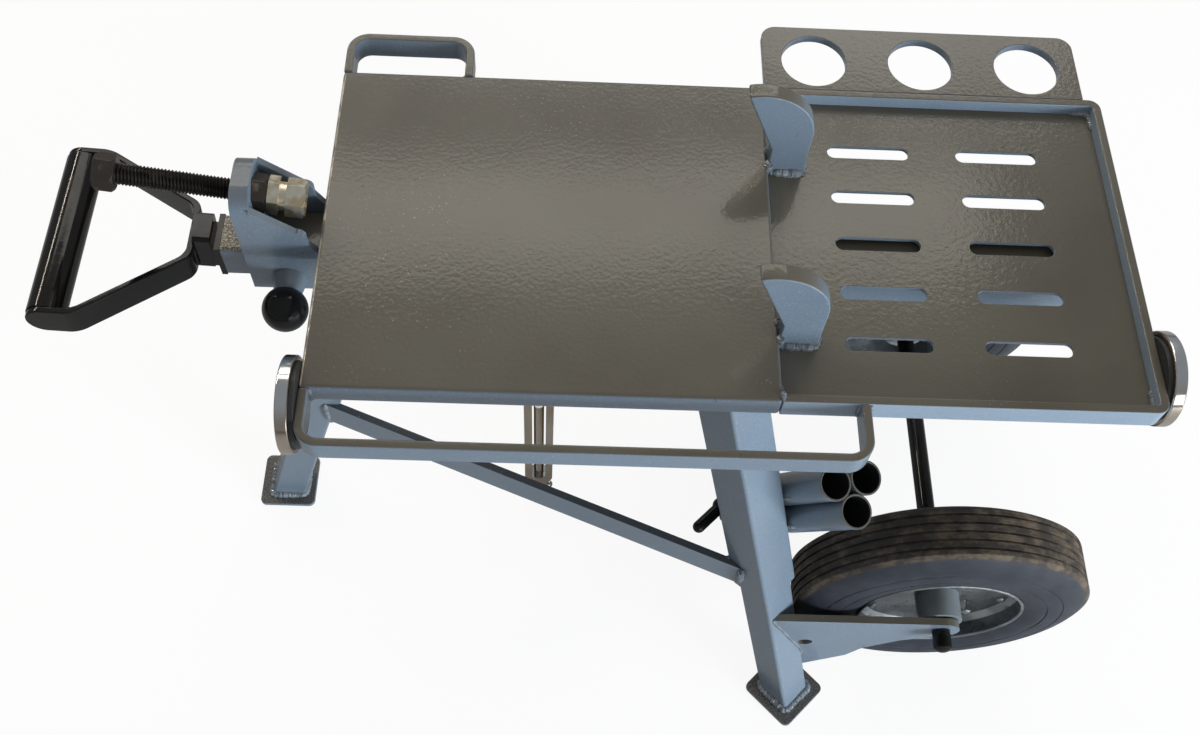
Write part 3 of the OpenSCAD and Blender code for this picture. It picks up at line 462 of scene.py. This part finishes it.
# The bevel's width on each painted node, in millimetres
EASED_WIDTH = {
    "top_plate": 2.6, "tray_floor": 0.4, "tray_rim": 1.0, "holder_plate": 1.0, "front_loop": 1.4,
    "rear_loop": 1.4, "front_dog": 1.6, "rear_dog": 1.6, "spine_tube": 0.4, "clamp_bracket": 2.0,
    "plunger_housing": 0.5, "left_leg_sleeve": 0.5, "left_leg_inner": 0.5, "left_foot": 1.0,
    "front_leg_sleeve": 0.5, "front_leg_inner": 0.5, "front_foot": 1.0, "rear_leg_sleeve": 0.5,
    "rear_leg_inner": 0.5, "rear_foot": 1.0, "screw_bosses": 0.6, "front_brace": 0.8,
    "rear_brace": 0.8, "front_wheel_arm": 0.8, "rear_wheel_arm": 0.8, "punch_tube_1": 0.3,
    "punch_tube_2": 0.3, "punch_tube_3": 0.3, "hanger_tab": 0.8,
}
# The painted nodes that don't have the plain grey paint
PAINT_OF = {
    "clamp_bracket": cool_paint, "plunger_housing": cool_paint,
    "top_plate": edge_paint, "tray_rim": rim_paint,
    "left_foot": foot_paint, "front_foot": foot_paint, "rear_foot": foot_paint,
    "front_brace": brace_paint, "rear_brace": brace_paint,
}
for node, width in EASED_WIDTH.items():
    eased(node, PAINT_OF.get(node, paint), width)
eased("handle_tube", rough_paint, 0.4)


def shade_bore_faces(obj):
    """Gives the faces that look towards the piece's middle line the painted shade of a tube's inside."""
    obj.data.materials.append(bore_shade)
    low, high = (Vector([pick(v.co[i] for v in obj.data.vertices) for i in range(3)])
                 for pick in (min, max))
    middle = (low + high) / 2
    for face in obj.data.polygons:
        if (face.center - middle).dot(face.normal) < -MM:
            face.material_index = 1


# The punch tubes' insides get painted shade
for node in ("punch_tube_1", "punch_tube_2", "punch_tube_3"):
    shade_bore_faces(bpy.data.objects[node + "_body"])

# The other nodes: black paint, zinc, bare metal, plastic, chrome, ferrite and the wheels
for node, width in {"handle_neck": 2.2, "handle_grip": 0.4, "axle": 0.0,
                    "left_leg_screw": 0.0, "front_leg_screw": 0.0, "rear_leg_screw": 0.0}.items():
    eased(node, black, width)
for node in ("clamp_pad", "plunger_pin", "axle_clips"):
    eased(node, zinc, 0.4)
eased("plunger_spring", bearing, 0.0)
eased("plunger_knob", plastic, 0.8)
for node in ("left_magnet_cup", "right_magnet_cup"):
    eased(node, chrome, 1.2, 3)
for node in ("turnbuckle_eye", "turnbuckle_body", "turnbuckle_hook"):
    eased(node, chrome, 0.8, 3)
for node in ("left_magnet_ring", "right_magnet_ring"):
    eased(node, ferrite, 0.5)
for side in ("front", "rear"):
    eased(side + "_tyre", rubber, 0.0)
    eased(side + "_rim", rim_zinc, 0.0, fine=30)
    eased(side + "_hub", hub_grey, 0.5)
    eased(side + "_bearings", bearing, 0.4)


# The handle's bent flat bar, with its bends drawn round

HANDLE_TILT = 4
# The middle of the handle tube's end
HANDLE_END = (-75, 0, 424.95)


def at_handle(x, y, z):
    """A point in millimetres from the handle tube's end, along the tilted handle."""
    tilt = math.radians(HANDLE_TILT)
    return spot(HANDLE_END[0] + x * math.cos(tilt) + z * math.sin(tilt), y,
                HANDLE_END[2] - x * math.sin(tilt) + z * math.cos(tilt))


def bent_handle():
    """Rounds the frame's bends, whose edges run over the flat bar's full height."""
    bar_h, bend_r, steps = 25.4, 6.0, 5
    upright = (at_handle(0, 0, 1) - at_handle(0, 0, 0)).normalized()
    obj = merged_copy("handle_frame", "handle_frame_body")
    edit(obj)
    bpy.ops.mesh.select_mode(type="EDGE")
    bpy.ops.mesh.select_all(action="DESELECT")
    leave()
    points = obj.data.vertices
    for e in obj.data.edges:
        run = points[e.vertices[1]].co - points[e.vertices[0]].co
        e.select = run.length > 0.9 * bar_h * MM and abs(run.normalized().dot(upright)) > 0.999
    bpy.ops.object.mode_set(mode="EDIT")
    bpy.ops.mesh.bevel(offset=bend_r * MM, segments=steps, affect="EDGES")
    leave()
    ease(obj, 1.0)
    dress(obj, "handle", black, ("handle_frame",))


bent_handle()


# The clamp's threaded screw and its nut, along an axis that dips towards the plate

CLAMP_START = (-48.65, 0, 490.4)
CLAMP_TILT = 10
CLAMP_TURN = Matrix.Rotation(math.radians(90 + CLAMP_TILT), 4, "Y")
CLAMP_AXES = Matrix.Translation(spot(*CLAMP_START)) @ CLAMP_TURN
# How far the hexagons' corners are cut back, and how much smaller the cutting blank is than the corners
CORNER_CUT = 1.7
BLANK_SHARE = 0.99


def move_by(obj, matrix):
    """Moves the mesh, not the object."""
    obj.matrix_world = matrix @ obj.matrix_world
    bake_place(obj)


def threaded_rod(name, crest_d, root_d, pitch, start, end, sides=32, rows_per_turn=8):
    """A closed rod along Z with a real right-hand thread, wound from a grid."""
    rows = int((end - start) / pitch * rows_per_turn)
    bpy.ops.mesh.primitive_grid_add(x_subdivisions=sides, y_subdivisions=rows, size=1)
    obj = bpy.context.object
    obj.name = name
    mid, depth = (crest_d + root_d) / 4, (crest_d - root_d) / 4
    for v in obj.data.vertices:
        turn = v.co.x + 0.5
        z = start + (v.co.y + 0.5) * (end - start)
        phase = (z / pitch - turn) % 1
        r = mid + depth * (1 - 4 * abs(phase - 0.5))
        v.co = Vector((r * math.cos(math.tau * turn), r * math.sin(math.tau * turn), z)) * MM
    edit(obj)
    bpy.ops.mesh.remove_doubles(threshold=MM / 100)
    bpy.ops.mesh.select_mode(type="EDGE")
    bpy.ops.mesh.select_all(action="DESELECT")
    bpy.ops.mesh.select_non_manifold()
    bpy.ops.mesh.edge_face_add()
    bpy.ops.mesh.select_all(action="SELECT")
    bpy.ops.mesh.normals_make_consistent(inside=False)
    leave()
    return obj


def cut_to(obj, other):
    """Keeps what obj shares with other, and removes other."""
    apply_modifier(obj, "BOOLEAN", object=other, operation="INTERSECT", solver="EXACT")
    bpy.data.objects.remove(other)


def turned_blank(radius, start, end, bevel, sides=64):
    """A round bar with bevelled rims, which takes the corners off a hexagon."""
    bpy.ops.mesh.primitive_cylinder_add(vertices=sides, radius=radius * MM, depth=(end - start) * MM,
                                        location=(0, 0, (start + end) / 2 * MM))
    obj = bpy.context.object
    bake_place(obj)
    apply_modifier(obj, "BEVEL", width=bevel * MM, segments=1, limit_method="ANGLE",
                   angle_limit=math.radians(60))
    return obj


def clamp_screw():
    """A chamfered hexagonal head and a threaded rod, along the clamp's own Z axis."""
    head_af, head_start, head_end = 23, -98.9, -84.9
    crest_d, root_d, pitch, thread_end = 15.3, 13.0, 2.309, 15.3
    corner = head_af / 2 / math.cos(math.radians(30))
    bpy.ops.mesh.primitive_cylinder_add(vertices=6, radius=corner * MM, depth=(head_end - head_start) * MM,
                                        location=(0, 0, (head_start + head_end) / 2 * MM),
                                        rotation=(0, 0, math.radians(30)))
    head = bpy.context.object
    head.name = "clamp_screw_head"
    bake_place(head)
    cut_to(head, turned_blank(corner * BLANK_SHARE, head_start, head_end, CORNER_CUT))
    ease(head, 0.4, 2, 25)
    rod = threaded_rod("clamp_screw_thread", crest_d, root_d, pitch, head_end - 1, thread_end)
    smooth(rod, 30)
    for obj, finish in ((head, oxide), (rod, thread_oxide)):
        move_by(obj, CLAMP_AXES)
        dress(obj, "clamp_spindle", finish)
    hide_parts("clamp_screw")


def clamp_nut():
    """The CAD's nut, with the corners taken off its hexagon."""
    corner, start, end = 13.86, -20, 15.1
    obj = merged_copy("clamp_nut", "clamp_nut_body")
    blank = turned_blank(corner * BLANK_SHARE, start, end, CORNER_CUT)
    move_by(blank, CLAMP_AXES)
    cut_to(obj, blank)
    ease(obj, 0.4, 2, 25)
    dress(obj, "stand", oxide, ("clamp_nut",))


clamp_screw()
clamp_nut()


# Weld beads

def bead(name, points, radius, body, finish=weld_finish, ripple=2.2, closed=False):
    """A rippled weld bead through points in millimetres, part sunk in the corner that it fills."""
    step, fine_lump, broad_lump, broad_length = 0.55, 0.10, 0.14, 6.5
    end_share, end_growth, shake = 0.45, 0.35, 0.06
    rng = random.Random(name)
    if closed:
        points = points + points[:1]
    line = []
    for a, b in zip(points, points[1:]):
        a, b = Vector(a), Vector(b)
        count = max(1, round((b - a).length / step))
        line += [a.lerp(b, i / count) for i in range(count)]
    if not closed:
        line.append(Vector(points[-1]))
    data = bpy.data.curves.new(name, "CURVE")
    data.dimensions = "3D"
    data.bevel_depth = radius * MM
    data.bevel_resolution = 3
    data.use_fill_caps = not closed
    spline = data.splines.new("POLY")
    spline.points.add(len(line) - 1)
    spline.use_cyclic_u = closed
    swell = rng.uniform(0, math.tau)
    for i, (point, p) in enumerate(zip(spline.points, line)):
        lump = (fine_lump * math.sin(i * step * math.tau / ripple)
                + broad_lump * math.sin(i * step / broad_length + swell))
        from_end = min(i, len(line) - 1 - i) * step
        end = 1.0 if closed else min(1.0, end_share + end_growth * from_end / radius)
        jitter = Vector([rng.uniform(-shake, shake) * radius for _ in range(3)])
        point.co = (*(spot(*(p + jitter))), 1)
        point.radius = end * (1 + lump)
    obj = bpy.data.objects.new(name, data)
    bpy.context.scene.collection.objects.link(obj)
    alone(obj)
    bpy.ops.object.convert(target="MESH")
    obj = bpy.context.object
    obj.name = name
    smooth(obj, 60)
    return dress(obj, body, finish)


class Leg:
    """A leg's axis: its top, the plan direction of its lean, and the lean, in degrees."""

    def __init__(self, x, y, top, turn, lean):
        self.top = (x, y, top)
        self.turn, self.lean = math.radians(turn), math.radians(lean)

    def at(self, z, u=0.0, v=0.0):
        """The point at height z on the line that runs along the leg, u out and v beside its axis."""
        out = math.tan(self.lean) * (self.top[2] - z) + u / math.cos(self.lean)
        c, s = math.cos(self.turn), math.sin(self.turn)
        return (self.top[0] + out * c - v * s, self.top[1] + out * s + v * c, z)


PAIR_X, PAIR_Y, PAIR_LEAN = 285, 91.5, 19.3
LEGS = {"left": Leg(18, 0, 405.9, 180, 16.2), "front": Leg(PAIR_X, -PAIR_Y, UNDER, -45, PAIR_LEAN),
        "rear": Leg(PAIR_X, PAIR_Y, UNDER, 45, PAIR_LEAN)}
SIDES = {"front": -1, "rear": 1}
HALF = INNER / 2
SLEEVE_HALF = TUBE / 2


def cut_square(h, cut):
    """The eight corners of a square of half width h whose corners are cut."""
    return [(h, cut - h), (h, h - cut), (h - cut, h), (cut - h, h),
            (-h, h - cut), (-h, cut - h), (cut - h, -h), (h - cut, -h)]


def foot_beads():
    """Where the inner tubes meet the foot plates."""
    foot_t, rise, corner_cut, radius = 5, 0.4, 2.5, 3.8
    corners = cut_square(HALF + rise, corner_cut)
    for name, leg in LEGS.items():
        ring = [leg.at(foot_t + rise, u, v) for u, v in corners[1:] + corners[:1]]
        bead(name + "_foot_weld", ring, radius, name + "_leg", closed=True)


def sleeve_beads():
    """Where the sleeves meet the plate or the spine."""
    drop, corner_cut, radius = 0.6, 2, 2.4
    for name, leg in LEGS.items():
        ring = [leg.at(leg.top[2] - drop, u, v) for u, v in cut_square(SLEEVE_HALF, corner_cut)]
        bead(name + "_sleeve_weld", ring, radius, "stand", closed=True)


def wheel_arm_beads():
    """Where the wheel arms meet the inner tubes, on both faces of each arm."""
    arm_y, arm_t, top_z, low_z, steps, radius = 181.34, 6.4, 151, 33, 8, 1.5
    for name, side in SIDES.items():
        leg = LEGS[name]
        for face in (-1, 1):
            y = side * arm_y + face * arm_t / 2
            path = []
            for i in range(steps + 1):
                z = top_z + (low_z - top_z) * i / steps
                x0, y0, _ = leg.at(z)
                off = abs(y) - abs(y0)
                out = HALF / math.cos(leg.lean) * math.sqrt(2) - off
                beside = HALF * math.sqrt(2) + off
                path.append((x0 + min(out, beside) + BEAD_RISE, y, z))
            bead(f"{name}_arm_weld_{face + 2}", path, radius, name + "_leg")


def brace_beads():
    """Where the two braces meet the front and rear sleeves, and the left sleeve."""
    low_z, high_z, brace_set, half_t, sunk = 182, 211.7, 10, 3.2, 0.6
    sleeve_radius, end_radius = 3.6, 2.6
    start = LEGS["left"].at(SLEEVE_END)
    for name, side in SIDES.items():
        end = LEGS[name].at(SLEEVE_END)
        run = Vector((end[0] - start[0], end[1] - start[1], 0)).normalized()
        out = Vector((run.y, -run.x, 0)) * -side
        for face in (1, -1):
            origin = Vector((start[0], start[1] + side * brace_set, 0)) + out * half_t * face
            path = []
            for z in (low_z, (low_z + high_z) / 2, high_z):
                axis = Vector(LEGS[name].at(z))
                v_axis = Vector((-math.sin(LEGS[name].turn), math.cos(LEGS[name].turn), 0))
                wanted = axis.dot(v_axis) + side * SLEEVE_HALF
                t = (wanted - origin.dot(v_axis)) / run.dot(v_axis)
                p = origin + run * t
                path.append((p.x - sunk, p.y, z))
            bead(f"{name}_brace_weld_{face + 2}", path, sleeve_radius, "stand")
        reach = (SLEEVE_HALF + BEAD_RISE - brace_set - half_t / abs(run.x)) / abs(run.y) * run.x
        x, y = start[0] + reach, side * (SLEEVE_HALF + BEAD_RISE)
        bead(name + "_brace_end_weld", [(x, y, low_z), (x, y, high_z)], end_radius, "stand")


def dog_beads():
    """Around the two hold-down dogs, on the tray's floor and up the plate's end."""
    foot_l, half_t, rise, side_radius, back_radius = 28, 6.35, 0.6, 4.0, 3.2
    heel = PLATE_L + foot_l
    for name, y in (("front", -81.5), ("rear", 68.5)):
        for face in (-1, 1):
            s = y + face * (half_t + BEAD_RISE)
            along = [(PLATE_L + 1, s, TRAY_TOP + 0.8), (heel, s, TRAY_TOP + rise)]
            upward = [(PLATE_L + 0.5, s, TRAY_TOP + 1), (PLATE_L + 0.2, s, PLATE_TOP + 2.5)]
            bead(f"{name}_dog_weld_{face + 2}", along, side_radius, "stand")
            bead(f"{name}_dog_corner_{face + 2}", upward, side_radius, "stand")
        back = [(heel + BEAD_RISE, y + reach, TRAY_TOP + rise) for reach in (-half_t, half_t)]
        bead(name + "_dog_back_weld", back, back_radius, "stand")


def tray_beads():
    """Where the rim meets the plate's end and the tray's corners, and the seam between plate and tray."""
    rim_in, rim_out, seam_end, end_x = 130.1, 136.0, 119, 575.6
    rim_radius, corner_radius, seam_radius, corner_l = 2.0, 2.2, 1.2, 16
    for name, side in SIDES.items():
        rim_end = [(PLATE_L + 0.4, side * rim_out, PLATE_TOP - 0.3),
                   (PLATE_L + 0.4, side * rim_in, PLATE_TOP - 0.5),
                   (PLATE_L + 1.5, side * (rim_in - 1), TRAY_TOP + 0.8),
                   (PLATE_L + 1.5, side * seam_end, TRAY_TOP + 0.5)]
        corner = [(end_x - corner_l, side * rim_in, TRAY_TOP + 0.4),
                  (end_x - 2, side * (rim_in - 0.6), TRAY_TOP + 1),
                  (end_x - 0.4, side * (rim_in - 4), TRAY_TOP + 1),
                  (end_x, side * (rim_in - corner_l), TRAY_TOP + 0.4)]
        bead(name + "_rim_end_weld", rim_end, rim_radius, "stand")
        bead(name + "_tray_corner_weld", corner, corner_radius, "stand")
    seams = {"plate_end_seam": (-116, -92), "plate_end_seam_2": (-71, 58), "plate_end_seam_3": (79, 116)}
    for name, ends in seams.items():
        bead(name, [(PLATE_L + 0.2, y, TRAY_TOP + 0.2) for y in ends], seam_radius, "stand")


def loop_beads():
    """Where the two tool loops meet the plate's long sides."""
    low_z, high_z, bar, radius = 446, 461.5, 6.4, 2.0
    for name, side, length in (("front", -1, 379), ("rear", 1, 98)):
        y = side * (PLATE_W / 2 + BEAD_RISE)
        starts = bar + BEAD_RISE, length - bar - BEAD_RISE, length + BEAD_RISE
        for tag, x in enumerate(starts, 1):
            bead(f"{name}_loop_weld_{tag}", [(x, y, low_z), (x, y, high_z)], radius, "stand")


def punch_tube_beads():
    """Where two of the punch tubes meet the front sleeve's side."""
    lean, beside, radius = math.radians(27), SLEEVE_HALF + 1.6, 2.6
    leg = LEGS["front"]
    c, s = math.cos(leg.turn), math.sin(leg.turn)
    for tag, out, z, first, last in ((1, 101, 342.6, 46, 66), (2, 125.06, 330.34, 74, 96)):
        path = []
        for down in (first, last):
            u = out - math.sin(lean) * down
            path.append((leg.top[0] + u * c - beside * s, leg.top[1] + u * s + beside * c,
                         z - math.cos(lean) * down))
        bead(f"punch_tube_weld_{tag}", path, radius, "stand")


def handle_beads():
    """Where the handle's block meets the bent frame, on its top and its two sides."""
    joint, bar_half, rise, radius = -20.2, 12.7, 0.2, 1.8
    upper, lower, wide = 11, -10, 11
    rows = {"top": [(joint, -wide, bar_half + rise), (joint, wide, bar_half + rise)],
            "front": [(joint, -bar_half - rise, lower), (joint, -bar_half - rise, upper)],
            "rear": [(joint, bar_half + rise, lower), (joint, bar_half + rise, upper)]}
    for tag, path in rows.items():
        points = [tuple((at_handle(*p) - spot(0, 0, 0)) / MM) for p in path]
        bead(f"handle_{tag}_weld", points, radius, "handle", black)


foot_beads()
sleeve_beads()
wheel_arm_beads()
brace_beads()
dog_beads()
tray_beads()
loop_beads()
punch_tube_beads()
handle_beads()


# Camera, floor and lights

def add_camera():
    """The camera that was solved from the straight edges in the photograph."""
    place, lens, sensor = (-0.04745, -0.5300, 1.2029), 38.115, 36
    right = Vector((0.99900, 0.0119, 0.043184)).normalized()
    forward = Vector((0.031853, 0.489066, -0.871640)).normalized()
    up = right.cross(forward).normalized()
    right = forward.cross(up)
    camera = bpy.data.objects.new("camera", bpy.data.cameras.new("camera"))
    camera.data.lens = lens
    camera.data.sensor_width = sensor
    turned = Matrix((right, up, -forward)).transposed().to_4x4()
    camera.matrix_world = Matrix.Translation(place) @ turned
    bpy.context.scene.collection.objects.link(camera)
    bpy.context.scene.camera = camera


def seen_directly(nodes):
    """1 for rays from the camera, which show the background."""
    return nodes.new("ShaderNodeLightPath").outputs["Is Camera Ray"]


def add_floor():
    """A pale floor that keeps shadows: nearly white to the camera, and grey to all other rays."""
    width, drop, whiteness, white_share = 60, 0.0005, 1.12, 0.8
    bpy.ops.mesh.primitive_plane_add(size=width, location=(0, 0, -drop))
    floor = bpy.context.object
    floor.name = "floor"
    f = Finish("pale_floor", Roughness=0.9)
    f.shader.inputs["Specular IOR Level"].default_value = 0.0
    f.colour(f.mix(f.noise(3.0, 2.0), (0.46, 0.46, 0.46), (0.50, 0.50, 0.50)))
    white = f.nodes.new("ShaderNodeEmission")
    white.inputs["Strength"].default_value = whiteness
    mix = f.nodes.new("ShaderNodeMixShader")
    f.join(f.math("MULTIPLY", seen_directly(f.nodes), white_share), mix.inputs[0])
    f.join(f.shader.outputs[0], mix.inputs[1])
    f.join(white.outputs[0], mix.inputs[2])
    f.join(mix.outputs[0], f.nodes["Material Output"].inputs["Surface"])
    floor.data.materials.append(f.material)


def add_light(name, place, target, size, power, tint):
    """A rectangular light at place that faces target; lengths in metres, power in watts."""
    data = bpy.data.lights.new(name, "AREA")
    data.shape = "RECTANGLE"
    data.size, data.size_y = size
    data.energy = power
    data.color = tint
    light = bpy.data.objects.new(name, data)
    light.location = place
    light.rotation_mode = "QUATERNION"
    light.rotation_quaternion = (Vector(target) - Vector(place)).to_track_quat("-Z", "Y")
    bpy.context.scene.collection.objects.link(light)
    return light


def add_sky():
    """A dim, cool room for the light, and plain white where the camera looks past the floor."""
    world = bpy.data.worlds.new("pale_room")
    bpy.context.scene.world = world
    world.use_nodes = True
    nodes, links = world.node_tree.nodes, world.node_tree.links
    shown = nodes["Background"]
    shown.inputs["Color"].default_value = (1, 1, 1, 1)
    shown.inputs["Strength"].default_value = 1.0
    soft = nodes.new("ShaderNodeBackground")
    soft.inputs["Color"].default_value = (0.92, 0.96, 1.0, 1)
    soft.inputs["Strength"].default_value = 0.27
    mix = nodes.new("ShaderNodeMixShader")
    links.new(seen_directly(nodes), mix.inputs[0])
    links.new(soft.outputs[0], mix.inputs[1])
    links.new(shown.outputs[0], mix.inputs[2])
    links.new(mix.outputs[0], nodes["World Output"].inputs["Surface"])


add_camera()
add_floor()
body_middle, plate_middle = (0, 0, 0.3), (0, 0, 0.46)
overhead = add_light("overhead", (0.2, -0.2, 2.6), body_middle, (1.8, 1.8), 9, (1.0, 0.96, 0.90))
overhead.visible_glossy = False
add_light("back_sky", (0.2, 2.50, 2.3), plate_middle, (2.6, 1.0), 22, (1.0, 0.97, 0.92))
add_light("strip", (-0.06, 1.34, 2.30), plate_middle, (2.2, 0.30), 6, (1.0, 0.95, 0.86))
# The window lights the matt part of the paint; its sheen, in the same place, is weaker
window = ((2.5, -1.85, 0.50), body_middle, (1.3, 1.3))
add_light("window", *window, 165, (0.88, 0.94, 1.0)).visible_glossy = False
add_light("window_sheen", *window, 50, (0.88, 0.94, 1.0)).visible_diffuse = False
add_light("front_fill", (1.4, -2.9, 0.9), body_middle, (2.0, 1.2), 20, (0.85, 0.93, 1.0))
add_light("glint", (-1.8, 1.45, 2.0), (-0.2, 0, 0.45), (1.8, 0.07), 20, (1.0, 0.88, 0.72))
add_sky()
bpy.context.scene.view_settings.view_transform = "Standard"
